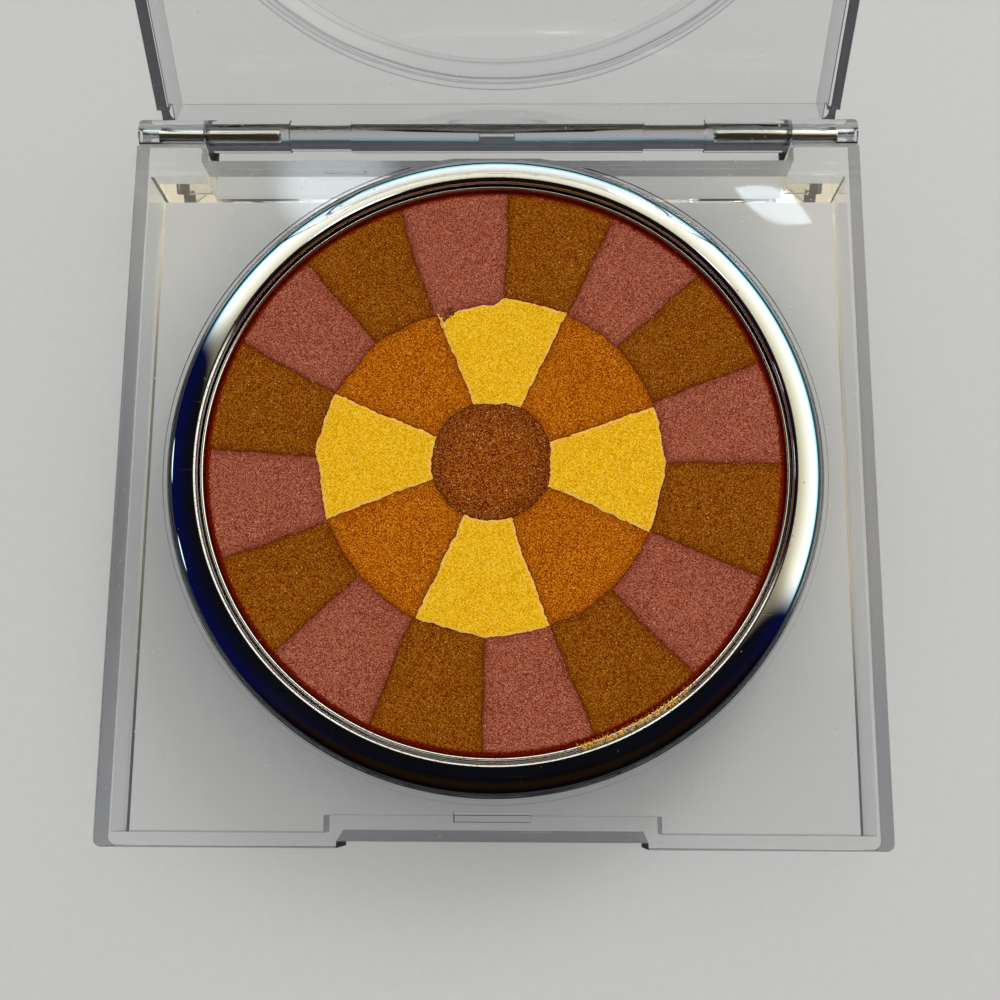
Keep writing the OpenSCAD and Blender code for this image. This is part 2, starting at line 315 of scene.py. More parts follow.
# ---------------------------------------------------------------- materials
def powder(name, tones, flake, seam_color, share, cloth=0.4, edge_highlight=None, fade=1.2):
    """Pressed shimmer powder: grain, flakes, dark seams with a broad painted shade beside them, a
    painted highlight on crumbled edges, and dark red rim dust deepened by painted shade.
    """
    made, tree, shader, vector = new_material(name)
    grain = place_group(tree, PRESSED_GRAIN, vector, Cloth=cloth)
    flakes = place_group(tree, SHIMMER, vector, Share=share)
    fine_flakes = place_group(tree, SHIMMER, vector, Flakes_per_metre=9000.0, Share=share * 1.6)
    color = color_ramp(tree, grain.outputs["Tone"], tuple(zip((0.0, 0.45, 1.0), tones)))
    seam = node(tree, "ShaderNodeAttribute", attribute_name="seam").outputs["Fac"]
    rim = node(tree, "ShaderNodeAttribute", attribute_name="rim").outputs["Fac"]
    ragged = noise_node(tree, vector, 3500.0, 3.0, 0.6)
    wander = times(tree, math_node(tree, "SUBTRACT", ragged, 0.5), 0.7)
    near_seam = plus(tree, seam, wander)
    if edge_highlight:
        # Painted highlight: crumbled edges are painted lighter along a ragged line, as light catches
        # their crest
        broken = between(tree, noise_node(tree, vector, 800.0, 2.0, 0.5), 0.36, 0.56, 0.3, 1.0)
        crest_highlight = times(tree, between(tree, near_seam, 0.3, 0.04), broken)
        color = blend_colors(tree, crest_highlight, color, edge_highlight)
    else:
        # Painted shade: the powder darkens over a broad band towards each seam, as shade falls beside
        # the joints; fade sets how wide the band is
        shade = times(tree, between(tree, seam, fade, 0.0), 0.28)
        color = blend_colors(tree, shade, color, seam_color)
        tint = times(tree, between(tree, near_seam, 0.28, -0.05), 0.55)
        color = blend_colors(tree, tint, color, seam_color)
    # Red powder dust at the rim, painted darker as the shade in the recess under the pan's lip
    dust_and_shade = between(tree, plus(tree, rim, wander), 0.72, 0.4)
    rim_dust_and_shade = blend_colors(tree, grain.outputs["Tone"], srgb(66, 5, 1), srgb(142, 34, 8))
    color = blend_colors(tree, dust_and_shade, color, rim_dust_and_shade)
    fine_sparkle = times(tree, fine_flakes.outputs["Mask"], 0.7)
    sparkle = math_node(tree, "MAXIMUM", flakes.outputs["Mask"], fine_sparkle)
    sparkle = times(tree, sparkle, between(tree, dust_and_shade, 0.0, 1.0, 1.0, 0.25))
    color = blend_colors(tree, sparkle, color, flake)
    tree.links.new(color, shader.inputs["Base Color"])
    tree.links.new(between(tree, sparkle, 0.0, 1.0, 0.62, 0.32), shader.inputs["Roughness"])
    tree.links.new(times(tree, sparkle, 0.35), shader.inputs["Metallic"])
    shader.inputs["Specular IOR Level"].default_value = 0.0
    attach_bump(tree, shader, grain.outputs["Height"], 0.00012, 0.9)
    return made


def open_to_light(tree, shader, tint):
    """Lets lamps and scattered light straight through a clear piece: it throws no dark shadow."""
    path = node(tree, "ShaderNodeLightPath")
    straight = node(tree, "ShaderNodeBsdfTransparent")
    straight.inputs["Color"].default_value = tint
    surface = shader.outputs[0]
    for kind in ("Is Diffuse Ray", "Is Shadow Ray"):
        mixed = node(tree, "ShaderNodeMixShader")
        tree.links.new(path.outputs[kind], mixed.inputs[0])
        tree.links.new(surface, mixed.inputs[1])
        tree.links.new(straight.outputs[0], mixed.inputs[2])
        surface = mixed.outputs[0]
    tree.links.new(surface, tree.nodes["Material Output"].inputs["Surface"])


def painted_dark_in_mirrors(tree):
    """One for a clear surface that is seen in the bezel, where its colour is painted dark: a painted
    reflection.
    """
    path = node(tree, "ShaderNodeLightPath")
    mirrored = times(tree, had(tree, path, "Glossy Depth"), had_no(tree, path, "Diffuse Depth"))
    return times(tree, mirrored, had_no(tree, path, "Transmission Depth"))


def painted_window_band(tree, vector):
    """Painted reflection on the lid's round sloping band: a lilac cast between two darker lines of
    painted shade.
    """
    offset = vector_node(tree, "SUBTRACT", vector, tuple(value * MM for value in WINDOW_CENTER))
    across = vector_node(tree, "CROSS_PRODUCT", offset, WINDOW_AXIS)
    radius = vector_node(tree, "LENGTH", across, None, "Value")
    place = between(tree, radius, WINDOW_BAND[0] * MM, WINDOW_BAND[1] * MM, smooth=False)
    streak = noise_node(tree, vector, 130.0, 2.0, 0.5)
    place = plus(tree, place, between(tree, streak, 0.3, 0.7, -0.02, 0.02))
    return color_ramp(tree, place, (
        (0.14, (1, 1, 1)), (0.2, (0.55, 0.55, 0.6)), (0.28, (0.93, 0.91, 0.96)),
        (0.5, (0.97, 0.95, 0.99)), (0.72, (0.86, 0.84, 0.9)), (0.79, (0.42, 0.42, 0.46)),
        (0.86, (1, 1, 1))))


def clear_plastic(name, smears, trapped_shade_color, window=False):
    """Polished clear styrene with hairline scratches, smears and a little dust.

    What has been reflected inside the plastic leaves it with the trapped colour, a painted shade that
    darkens its inner reflections.
    """
    made, tree, shader, vector = new_material(name)
    open_to_light(tree, shader, (0.97, 0.97, 0.97, 1))
    marks = place_group(tree, HANDLING, vector, Smears=smears)
    shader.inputs["Transmission Weight"].default_value = 1.0
    shader.inputs["IOR"].default_value = 1.53
    rough = plus(tree, times(tree, marks.outputs["Smear"], 0.03),
                 times(tree, marks.outputs["Scratches"], 0.22))
    rough = plus(tree, rough, times(tree, marks.outputs["Dust"], 0.4))
    rough = plus(tree, rough, 0.012, clamp=True)
    tree.links.new(rough, shader.inputs["Roughness"])
    color = blend_colors(tree, marks.outputs["Dust"], (0.99, 0.995, 0.995, 1), (0.86, 0.85, 0.84, 1))
    # Painted shade: the rounded edges are painted grey, so they show as darker lines
    rounded = node(tree, "ShaderNodeAttribute", attribute_name="rounded").outputs["Fac"]
    color = blend_colors(tree, rounded, color, (0.78, 0.79, 0.81, 1))
    if window:
        # Painted reflection and shade on the window's sloping band
        color = blend_colors(tree, 1.0, color, painted_window_band(tree, vector), "MULTIPLY")
    else:
        # Painted reflection: seen in the bezel, the plastic is painted dark
        color = blend_colors(tree, painted_dark_in_mirrors(tree), color, (0.1, 0.1, 0.11, 1))
    # Painted shade: reflections inside the plastic take the darker trapped colour
    trapped = times(tree, node(tree, "ShaderNodeNewGeometry").outputs["Backfacing"],
                    node(tree, "ShaderNodeLightPath").outputs["Is Reflection Ray"])
    color = blend_colors(tree, trapped, color, trapped_shade_color)
    tree.links.new(color, shader.inputs["Base Color"])
    ripple = noise_node(tree, vector, 55.0, 2.0, 0.5)
    height = math_node(tree, "SUBTRACT", times(tree, ripple, 6.0), marks.outputs["Scratches"])
    attach_bump(tree, shader, height, 0.000006, 0.6)
    return made


def bright_metal(name, base, roughness, scratch, brushed=True, dusty_inside=None):
    """Bright metal or plating, with hairlines and powder dust settled on it.

    Coarser specks lie inside the two radii of dusty_inside, and fade out between them.
    """
    made, tree, shader, vector = new_material(name)
    marks = place_group(tree, HANDLING, vector, Smears=0.5)
    shader.inputs["Metallic"].default_value = 1.0
    color = blend_colors(tree, marks.outputs["Dust"], base, srgb(190, 150, 120))
    if dusty_inside:
        middle = vector_node(tree, "SUBTRACT", vector, (0, WHEEL_Y * MM, 0))
        flat = vector_node(tree, "MULTIPLY", middle, (1, 1, 0))
        radius = vector_node(tree, "LENGTH", flat, None, "Value")
        inside = between(tree, radius, dusty_inside[0] * MM, dusty_inside[1] * MM)
        specks = build_specks(tree, vector, 7000.0, 0.22, 0.4)
        color = blend_colors(tree, times(tree, specks, inside), color, srgb(128, 92, 46))
    tree.links.new(color, shader.inputs["Base Color"])
    rough = plus(tree, times(tree, marks.outputs["Scratches"], scratch),
                 times(tree, marks.outputs["Smear"], 0.06))
    rough = plus(tree, rough, times(tree, marks.outputs["Dust"], 0.3))
    rough = plus(tree, rough, roughness, clamp=True)
    tree.links.new(rough, shader.inputs["Roughness"])
    grain = noise_node(tree, vector, 1800.0 if brushed else 260.0, 2.0, 0.5)
    height = math_node(tree, "SUBTRACT", grain, marks.outputs["Scratches"])
    attach_bump(tree, shader, height, 0.00001 if brushed else 0.000004, 0.5)
    return made


def foam_pad(name):
    """White adhesive foam with fine open cells."""
    made, tree, shader, vector = new_material(name)
    cells = node(tree, "ShaderNodeTexVoronoi", Scale=2600.0)
    tree.links.new(vector, cells.inputs["Vector"])
    blotch = noise_node(tree, vector, 140.0, 3.0, 0.5)
    wall = between(tree, cells.outputs["Distance"], 0.1, 0.6)
    color = blend_colors(tree, wall, (0.62, 0.6, 0.55, 1), (0.86, 0.85, 0.81, 1))
    color = blend_colors(tree, times(tree, blotch, 0.5), color, (0.78, 0.74, 0.66, 1))
    tree.links.new(color, shader.inputs["Base Color"])
    shader.inputs["Roughness"].default_value = 0.8
    attach_bump(tree, shader, cells.outputs["Distance"], 0.00006, 0.8)
    return made


YELLOW = powder("powder_yellow", (srgb(198, 134, 0), srgb(235, 174, 6), srgb(255, 210, 58)),
                srgb(255, 232, 150), None, 0.05, 0.5, srgb(250, 192, 100))
ORANGE = powder("powder_orange", (srgb(108, 28, 0), srgb(160, 76, 0), srgb(220, 136, 28)),
                srgb(252, 190, 90), srgb(104, 28, 0), 0.1)
MAUVE = powder("powder_mauve", (srgb(98, 24, 2), srgb(145, 70, 46), srgb(190, 116, 92)),
               srgb(236, 170, 150), srgb(96, 24, 4), 0.08)
OLIVE = powder("powder_olive_brown", (srgb(84, 14, 0), srgb(124, 58, 0), srgb(170, 106, 28)),
               srgb(222, 166, 80), srgb(84, 22, 0), 0.12)
BROWN = powder("powder_brown", (srgb(66, 2, 0), srgb(118, 44, 0), srgb(188, 110, 36)),
               srgb(232, 180, 120), srgb(60, 10, 0), 0.2, fade=3.2)
CLEAR_BASE = clear_plastic("clear_plastic_base", 0.6, (0.5, 0.5, 0.52, 1))
CLEAR_LID = clear_plastic("clear_plastic_lid", 0.5, (0.04, 0.04, 0.045, 1), window=True)
BEZEL_CHROME = bright_metal("bezel_chrome", (0.55, 0.57, 0.6, 1), 0.03, 0.15, brushed=False,
                            dusty_inside=(30.5, 30.1))
PAN_METAL = bright_metal("pan_metal", srgb(236, 232, 224), 0.16, 0.2)
PIN_STEEL = bright_metal("pin_steel", srgb(214, 208, 196), 0.18, 0.2)
PAD_FOAM = foam_pad("pad_foam")


# ---------------------------------------------------------------- building helpers
def finish_piece(name, bm, material, body, nodes=(), sharp=None, normals=None):
    """Turns a bmesh in metres into a piece that rides on a body."""
    mesh = bpy.data.meshes.new(name)
    bm.to_mesh(mesh)
    bm.free()
    for face in mesh.polygons:
        face.use_smooth = True
    if sharp is not None:
        mesh.set_sharp_from_angle(angle=math.radians(sharp))
    if normals:
        mesh.normals_split_custom_set(normals)
    mesh.materials.append(material)
    made = bpy.data.objects.new(name, mesh)
    bpy.context.scene.collection.objects.link(made)
    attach(made, body)
    if nodes:
        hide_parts(*nodes)
    return made


def scaled_to_metres(bm):
    """From millimetres, in which the pieces are drawn, to metres."""
    bmesh.ops.scale(bm, vec=(MM, MM, MM), verts=bm.verts)


def flat_normals(bm, rounded):
    """Corner normals that keep the broad faces flat and turn only across the rounded edges."""
    bm.normal_update()
    area = {face: face.calc_area() for face in bm.faces}
    narrow = {face for face in bm.faces if face.loops[0][rounded] > 0.5}
    normals = []
    for face in bm.faces:
        for loop in face.loops:
            near = [f for f in loop.vert.link_faces if f.normal.dot(face.normal) > 0.766]
            broad = [f for f in near if f not in narrow] or near
            total = sum((f.normal * area[f] for f in broad), Vector((0, 0, 0)))
            normals.append(total.normalized() if total.length > 0 else face.normal.copy())
    return normals


def round_edges(bm, sharper_than, width, segments, clamp=False):
    """Rounds the edges that turn by more than an angle in radians."""
    edges = [e for e in bm.edges if len(e.link_faces) == 2 and e.calc_face_angle(0) > sharper_than]
    return bmesh.ops.bevel(bm, geom=edges, offset=width, offset_type="OFFSET", segments=segments,
                           profile=0.5, affect="EDGES", clamp_overlap=clamp, material=-1)


def moulding(name, source, body, material):
    """A copy of a packed moulding with its edges rounded, as a mould leaves them."""
    bm = bmesh.new()
    bm.from_mesh(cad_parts[source].data)
    bmesh.ops.remove_doubles(bm, verts=bm.verts, dist=0.002 * MM)
    bmesh.ops.dissolve_limit(bm, angle_limit=math.radians(0.6), verts=bm.verts, edges=bm.edges)
    bmesh.ops.recalc_face_normals(bm, faces=bm.faces)
    made = round_edges(bm, math.radians(32), MOULDED_EDGE * MM, 3, clamp=True)
    rounded = bm.loops.layers.float.new("rounded")
    for face in made["faces"]:
        for loop in face.loops:
            loop[rounded] = 1.0
    bmesh.ops.triangulate(bm, faces=[f for f in bm.faces if len(f.verts) > 4])
    normals = flat_normals(bm, rounded)
    return finish_piece(name, bm, material, body, (source,), 40, normals)


def spun_ring(points, center_y, steps, closed=True):
    """A ring from a section of (radius, height), turned about the wheel's centre."""
    bm = bmesh.new()
    corners = [bm.verts.new((r, 0, z)) for r, z in points]
    edges = [bm.edges.new((a, b)) for a, b in zip(corners, corners[1:])]
    if closed:
        edges.append(bm.edges.new((corners[-1], corners[0])))
    bmesh.ops.spin(bm, geom=corners + edges, cent=(0, 0, 0), axis=(0, 0, 1), angle=math.tau, steps=steps,
                   use_merge=True)
    bmesh.ops.remove_doubles(bm, verts=bm.verts, dist=0.0005)
    bmesh.ops.recalc_face_normals(bm, faces=bm.faces)
    bmesh.ops.translate(bm, vec=(0, center_y, 0), verts=bm.verts)
    return bm


def quarter(r, z, half_r, half_z, start, end, steps):
    """Points of an elliptical arc, with angles in degrees."""
    turn = [math.radians(start + (end - start) * i / steps) for i in range(steps + 1)]
    return [(r + half_r * math.cos(a), z + half_z * math.sin(a)) for a in turn]


# ---------------------------------------------------------------- the wheel of shades
def table_value(table, degrees):
    """A value read from a table of (degrees, value) that runs round the wheel."""
    degrees %= 360
    for (a0, v0), (a1, v1) in zip(table, table[1:] + ((table[0][0] + 360, table[0][1]),)):
        if a0 <= degrees <= a1:
            return v0 + (v1 - v0) * (degrees - a0) / (a1 - a0)
    return table[0][1]


noise.seed_set(SEAM_SEED)   # unseeded, noise_vector starts from the clock and differs each run


def rough_field(x, y, amount):
    """How far pressing and crumbling pushed a point of a seam, in millimetres."""
    shift = Vector((0, 0, 0))
    for per_mm, size in ((0.35, 0.16), (1.1, 0.12), (3.2, 0.09), (7.5, 0.06)):
        shift += noise.noise_vector(Vector((x * per_mm, y * per_mm, 3.7 * per_mm))) * size
    return shift.x * amount, shift.y * amount


def crowd(t):
    """Moves even steps towards both ends, where the seams are."""
    return t - 0.72 * math.sin(math.tau * t) / math.tau


def clamped(value):
    return min(max(value, 0.0), 1.0)


def seam_dip(away):
    """How far the powder lies lower near a seam that is so far away."""
    return 0.045 * math.exp(-((away / 0.12) ** 2)) + 0.02 * math.exp(-away / 0.5)


def swell(x, y):
    """The slow unevenness of the pressed face."""
    return noise.noise(Vector((x * 0.22, y * 0.22, 9.0))) * 0.03


def edge_layers(bm):
    """Two layers that the powder's material reads: distances to the seam and to the rim."""
    return bm.verts.layers.float.new("seam"), bm.verts.layers.float.new("rim")


def close_below(bm):
    """Walls and a flat underside for a sheet of powder."""
    made = bmesh.ops.extrude_face_region(bm, geom=bm.faces[:])
    for vert in (g for g in made["geom"] if isinstance(g, bmesh.types.BMVert)):
        vert.co.z = SHADE_FOOT
    bmesh.ops.recalc_face_normals(bm, faces=bm.faces)


def shade_piece(name, source, material, edges, seams, steps, lift=0.0):
    """One pressed shade: a fine grid over its sector, with ragged seams and soft edges."""
    inner_edge, outer_edge = edges
    across, around = steps
    bm = bmesh.new()
    line = [bm.verts.new((i / across, 0, 0)) for i in range(across + 1)]
    edges_made = [bm.edges.new(pair) for pair in zip(line, line[1:])]
    sweep = math.radians(40)
    for vert in line:
        vert.co.x += 1.0
    bmesh.ops.spin(bm, geom=line + edges_made, cent=(0, 0, 0), axis=(0, 0, 1), angle=sweep, steps=around,
                   use_merge=False)
    seam_layer, rim_layer = edge_layers(bm)
    (a_in, a_out), (b_in, b_out) = seams
    for vert in bm.verts:
        u = crowd(clamped(vert.co.xy.length - 1.0))
        v = crowd(clamped(math.atan2(vert.co.y, vert.co.x) / sweep))
        start = a_in + (a_out - a_in) * u
        end = b_in + (b_out - b_in) * u
        degrees = start + (end - start) * v
        r0, r1 = inner_edge(degrees), outer_edge(degrees)
        radius = r0 + (r1 - r0) * u
        angle = math.radians(degrees)
        x, y = radius * math.cos(angle), radius * math.sin(angle)
        to_rim = POWDER_RIM - radius
        dx, dy = rough_field(x, y, clamped(to_rim / 1.5))
        half = radius * math.radians(end - start) / 2
        side = min(v, 1 - v) * 2 * half
        to_edge = min(side, radius - r0, r1 - radius)
        at_rim = r1 > POWDER_RIM - 0.5
        rim_drop = 0.42 * max(0.0, 1 - to_rim / 0.5) ** 1.2
        lump = swell(x, y) + noise.noise(Vector((x * 4.1, y * 4.1, 2.0))) * 0.012
        vert.co = (x + dx, y + dy + WHEEL_Y, SHADE_TOP - seam_dip(to_edge) - rim_drop + lump + lift)
        vert[seam_layer] = min(side, radius - r0) if at_rim else to_edge
        vert[rim_layer] = to_rim
    close_below(bm)
    scaled_to_metres(bm)
    return finish_piece(name, bm, material, "base", (source,), sharp=50)


def rim_edge(_):
    """A shade's edge, like the next three: a radius for an angle in degrees round the wheel."""
    return POWDER_RIM


def ring_out(degrees):
    return table_value(RING_EDGE, degrees) + SEAM_GAP


def ring_in(degrees):
    return table_value(RING_EDGE, degrees) - SEAM_GAP


def center_out(degrees):
    return table_value(CENTER_EDGE, degrees) + SEAM_GAP


def seam_pair(seams, index, radius):
    """Both seams of one shade, each a little inside its neighbour's."""
    last = index + 1 == len(seams)
    first, second = seams[index], seams[0 if last else index + 1]
    turn = 360.0 if last else 0.0
    slit = math.degrees(SEAM_GAP / radius)
    return ((first[0] + slit, first[1] + slit), (second[0] + turn - slit, second[1] + turn - slit))


for i in range(len(INNER_SEAMS)):
    material, slot, lift = ((YELLOW, "powder_yellow", 0.03), (ORANGE, "powder_orange", 0.0))[i % 2]
    shade_piece(f"inner_shade_{i + 1}", f"powder_inner_{i + 1}", material, (center_out, ring_in),
                seam_pair(INNER_SEAMS, i, 11.0), (72, 84), lift)
for i in range(len(OUTER_SEAMS)):
    material, slot = ((MAUVE, "powder_mauve"), (OLIVE, "powder_olive"))[i % 2]
    shade_piece(f"outer_shade_{i + 1}", f"powder_outer_{i + 1}", material, (ring_out, rim_edge),
                seam_pair(OUTER_SEAMS, i, 23.0), (72, 64))


def center_shade():
    """The round shade at the hub, slightly domed."""
    bm = bmesh.new()
    hub = bm.verts.new((0, 0, 0))
    steps = 40
    line = [hub] + [bm.verts.new((i / steps, 0, 0)) for i in range(1, steps + 1)]
    spokes = [bm.edges.new(pair) for pair in zip(line, line[1:])]
    bmesh.ops.spin(bm, geom=line + spokes, cent=(0, 0, 0), axis=(0, 0, 1), angle=math.tau, steps=200,
                   use_merge=True)
    bmesh.ops.remove_doubles(bm, verts=bm.verts, dist=0.0001)
    seam_layer, rim_layer = edge_layers(bm)
    for vert in bm.verts:
        u = vert.co.xy.length
        angle = math.atan2(vert.co.y, vert.co.x)
        edge = table_value(CENTER_EDGE, math.degrees(angle))
        u = 1 - (1 - u) ** 1.25 if u < 1 else 1.0
        radius = u * (edge - SEAM_GAP)
        x, y = radius * math.cos(angle), radius * math.sin(angle)
        dx, dy = rough_field(x, y, 1.0)
        to_seam = edge - radius
        vert.co = (x + dx, y + dy + WHEEL_Y, SHADE_TOP - seam_dip(to_seam) + swell(x, y))
        vert[seam_layer] = to_seam
        vert[rim_layer] = FAR
    close_below(bm)
    scaled_to_metres(bm)
    return finish_piece("center_shade", bm, BROWN, "base", ("powder_center",), sharp=50)


center_shade()


def loose_grains(name, material, spills, to_seam, seed):
    """Loose powder; each spill is (angle, angle, radius, radius, height, count, size)."""
    chance = random.Random(seed)
    bm = bmesh.new()
    for a0, a1, r0, r1, height, count, size in spills:
        for _ in range(count):
            angle = math.radians(chance.uniform(a0, a1))
            radius = chance.uniform(r0, r1)
            place = Vector((radius * math.cos(angle), radius * math.sin(angle) + WHEEL_Y, height))
            turn = Matrix.Rotation(chance.uniform(0, math.tau), 4, "Z")
            shape = Matrix.Diagonal((chance.uniform(0.8, 1.4), chance.uniform(0.6, 1.0), 0.6, 1.0))
            bmesh.ops.create_icosphere(bm, subdivisions=1, radius=size * chance.uniform(0.5, 1.0),
                                       matrix=Matrix.Translation(place) @ turn @ shape)
    seam_layer, rim_layer = edge_layers(bm)
    for vert in bm.verts:
        vert[seam_layer] = to_seam
        vert[rim_layer] = FAR
    scaled_to_metres(bm)
    return finish_piece(name, bm, material, "base")


# Set at the seam, yellow grains take the painted crest highlight and brown grains the seams' painted
# shade
loose_grains("yellow_grains", YELLOW, (
    (110.5, 111.0, 16.1, 16.64, 9.98, 12, 0.09), (110.0, 110.5, 15.5, 16.1, 9.97, 16, 0.13),
    (109.7, 110.2, 14.9, 15.5, 9.95, 16, 0.16), (85.8, 87.0, 16.9, 17.35, 9.94, 10, 0.08),
    (64.6, 65.4, 17.0, 17.35, 9.94, 6, 0.07), (66, 104, 17.1, 17.5, 9.93, 34, 0.045),
    (-24, 20, 16.9, 17.4, 9.93, 30, 0.045), (157, 196, 17.5, 18.1, 9.93, 30, 0.045),
    (245, 287, 17.2, 17.7, 9.93, 30, 0.045), (0, 360, 5.9, 6.4, 9.93, 60, 0.04),
    (287, 310, 29.15, 29.75, 10.33, 420, 0.085),
    (268, 330, 29.3, 29.6, 10.32, 120, 0.06)), 0.0, 11)
loose_grains("orange_grains", ORANGE, (
    (286, 312, 28.95, 29.6, 10.28, 260, 0.09), (262, 288, 29.25, 29.6, 10.3, 60, 0.06),
    (312, 335, 29.25, 29.6, 10.3, 70, 0.07), (180, 262, 29.25, 29.5, 10.3, 60, 0.05)), 5.0, 12)
loose_grains("brown_grains", BROWN, (
    (105.0, 109.3, 15.9, 16.9, 9.91, 70, 0.09), (0, 360, 17.0, 17.8, 9.92, 120, 0.05),
    (0, 360, 28.9, 29.3, 9.75, 160, 0.06)), 0.0, 13)


# ---------------------------------------------------------------- metal, pad and mouldings
def chrome_ring():
    """The plated bezel: a broad dome, a tighter shoulder and a steep inner slope."""
    section = [(29.75, 5.0), (30.95, 5.0), (31.05, 5.1), (31.05, 8.18), (32.9, 8.18)]
    section += quarter(32.95, 8.32, 0.1, 0.12, -90, 0, 4)
    section += quarter(31.32, 8.78, 1.73, 1.73, 0, 52, 16)
    section += quarter(30.15, 7.2, 3.7, 3.7, 54, 90, 22)
    section += quarter(30.1, 10.1, 0.44, 0.8, 92, 176, 14)
    section += [(29.66, 9.9), (29.65, 9.6), (29.65, 5.1)]
    bm = spun_ring(section, WHEEL_Y, 240)
    scaled_to_metres(bm)
    finish_piece("bezel_ring", bm, BEZEL_CHROME, "base", ("chrome_bezel",), sharp=50)


def powder_pan():
    """The drawn metal pan, with a rolled lip."""
    section = [(0.0, 5.8), (28.9, 5.8)] + quarter(28.9, 6.4, 0.6, 0.6, -90, 0, 6)
    section += [(29.5, 10.12)] + quarter(29.35, 10.15, 0.15, 0.15, 0, 180, 8) + [(29.2, 6.6)]
    section += quarter(28.8, 6.5, 0.4, 0.4, 0, -90, 5) + [(0.0, 6.1)]
    bm = spun_ring(section, WHEEL_Y, 240, closed=False)
    scaled_to_metres(bm)
    finish_piece("powder_pan", bm, PAN_METAL, "base", ("pan",), sharp=40)


def hinge_pin(name, source, side):
    """A steel pin with rounded ends, on the left for -1 and on the right for 1."""
    bm = bmesh.new()
    start, end = PIN_ENDS
    made = bmesh.ops.create_circle(bm, cap_ends=True, segments=40, radius=PIN_RADIUS)
    bmesh.ops.rotate(bm, verts=bm.verts, matrix=Matrix.Rotation(math.pi / 2, 3, "Y"))
    bmesh.ops.translate(bm, verts=made["verts"], vec=(side * start, HINGE_Y, HINGE_Z))
    drawn = bmesh.ops.extrude_face_region(bm, geom=bm.faces[:])
    moved = [g for g in drawn["geom"] if isinstance(g, bmesh.types.BMVert)]
    bmesh.ops.translate(bm, verts=moved, vec=(side * (end - start), 0, 0))
    round_edges(bm, 1.2, 0.12, 3)
    bmesh.ops.recalc_face_normals(bm, faces=bm.faces)
    scaled_to_metres(bm)
    finish_piece(name, bm, PIN_STEEL, "base", (source,), sharp=40)


def adhesive_pad():
    """The round pad that holds the pan down."""
    bm = bmesh.new()
    bmesh.ops.create_circle(bm, cap_ends=True, segments=160, radius=27.0)
    drawn = bmesh.ops.extrude_face_region(bm, geom=bm.faces[:])
    moved = [g for g in drawn["geom"] if isinstance(g, bmesh.types.BMVert)]
    bmesh.ops.translate(bm, verts=moved, vec=(0, 0, 0.8))
    round_edges(bm, 1.2, 0.12, 2)
    flats = [f for f in bm.faces if len(f.verts) > 100]
    bmesh.ops.inset_region(bm, faces=flats, thickness=0.6, depth=0.0)
    for vert in bm.verts:
        x, y = vert.co.xy
        vert.co.x *= 1 + 0.004 * noise.noise(Vector((x * 0.2, y * 0.2, 1.0)))
    bmesh.ops.translate(bm, verts=bm.verts, vec=(0, WHEEL_Y, 5.0))
    bmesh.ops.recalc_face_normals(bm, faces=bm.faces)
    scaled_to_metres(bm)
    finish_piece("adhesive_pad", bm, PAD_FOAM, "base", ("pan_adhesive",), sharp=40)


chrome_ring()
powder_pan()
hinge_pin("pin_left", "hinge_pin_left", -1)
hinge_pin("pin_right", "hinge_pin_right", 1)
adhesive_pad()
moulding("base_moulding", "base_case", "base", CLEAR_BASE)
moulding("lid_moulding", "lid", "lid", CLEAR_LID)


# ---------------------------------------------------------------- floor, light and camera
def studio_floor():
    """A plain pale floor; in reflections it is painted dark, as a dark counter would look, and painted
    mid grey where it is seen from inside the plastic.
    """
    bm = bmesh.new()
    bmesh.ops.create_grid(bm, x_segments=2, y_segments=2, size=1.5)
    bmesh.ops.translate(bm, verts=bm.verts, vec=(0, 0, -0.00002))
    mesh = bpy.data.meshes.new("floor")
    bm.to_mesh(mesh)
    bm.free()
    made, tree, shader, vector = new_material("floor_paper")
    tone = noise_node(tree, vector, 900.0, 3.0, 0.6)
    color = blend_colors(tree, tone, srgb(196, 196, 193), srgb(203, 203, 200))
    light = node(tree, "ShaderNodeLightPath")
    mirrored = times(tree, had(tree, light, "Glossy Depth"), had_no(tree, light, "Diffuse Depth"))
    # Painted reflection: the floor's colour as mirrors and the plastic's walls see it
    in_walls = had(tree, light, "Transmission Depth")
    shade = blend_colors(tree, in_walls, (0.04, 0.04, 0.042, 1), (0.42, 0.425, 0.43, 1))
    tree.links.new(blend_colors(tree, mirrored, color, shade), shader.inputs["Base Color"])
    shader.inputs["Roughness"].default_value = 0.75
    mesh.materials.append(made)
    floor = bpy.data.objects.new("floor", mesh)
    bpy.context.scene.collection.objects.link(floor)


def sky_side(tree, direction, towards, low, high):
    """A mask of the sky around a direction, from the cosines of its outer and inner angle."""
    nearness = vector_node(tree, "DOT_PRODUCT", direction, Vector(towards).normalized(), "Value")
    return between(tree, nearness, low, high)


def sky_patch(tree, direction, center, along, half_length, half_width):
    """A mask of the sky with two pointed ends, around a direction; its sizes are in radians."""
    center, along = Vector(center).normalized(), Vector(along).normalized()
    across = center.cross(along).normalized()
    lengthwise = vector_node(tree, "DOT_PRODUCT", direction, along / half_length, "Value")
    sideways = vector_node(tree, "DOT_PRODUCT", direction, across / half_width, "Value")
    away = plus(tree, times(tree, lengthwise, lengthwise), math_node(tree, "ABSOLUTE", sideways, 0.0))
    return times(tree, between(tree, away, 1.08, 0.84), sky_side(tree, direction, center, 0.5, 0.6))


